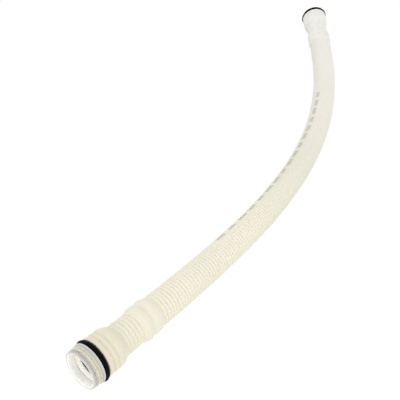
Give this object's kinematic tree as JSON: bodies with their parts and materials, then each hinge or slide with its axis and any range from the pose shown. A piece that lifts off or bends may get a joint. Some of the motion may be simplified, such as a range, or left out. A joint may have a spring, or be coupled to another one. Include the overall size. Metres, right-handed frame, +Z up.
{
  "type": "dishwasher drain hose",
  "caption": "Corrugated plastic drain hose lying in a gentle bend, open right through, with a ribbed plug-in spigot and a black rubber sealing ring at each end.",
  "frame": {"origin": "on the surface that the hose lies on, under the middle of its bounding box", "axes": "+X runs along the chord from one end to the other, +Z is up, and the bend bulges towards -Y"},
  "size_m": [0.5877, 0.0996, 0.0314],
  "materials": {
    "natural_polypropylene": "blown, semi-matt, slightly translucent",
    "black_rubber": "moulded, satin"
  },
  "bodies": {
    "root": {"hose": "natural_polypropylene", "seal_near_end": "black_rubber", "seal_far_end": "black_rubber"}
  },
  "joints": []
}
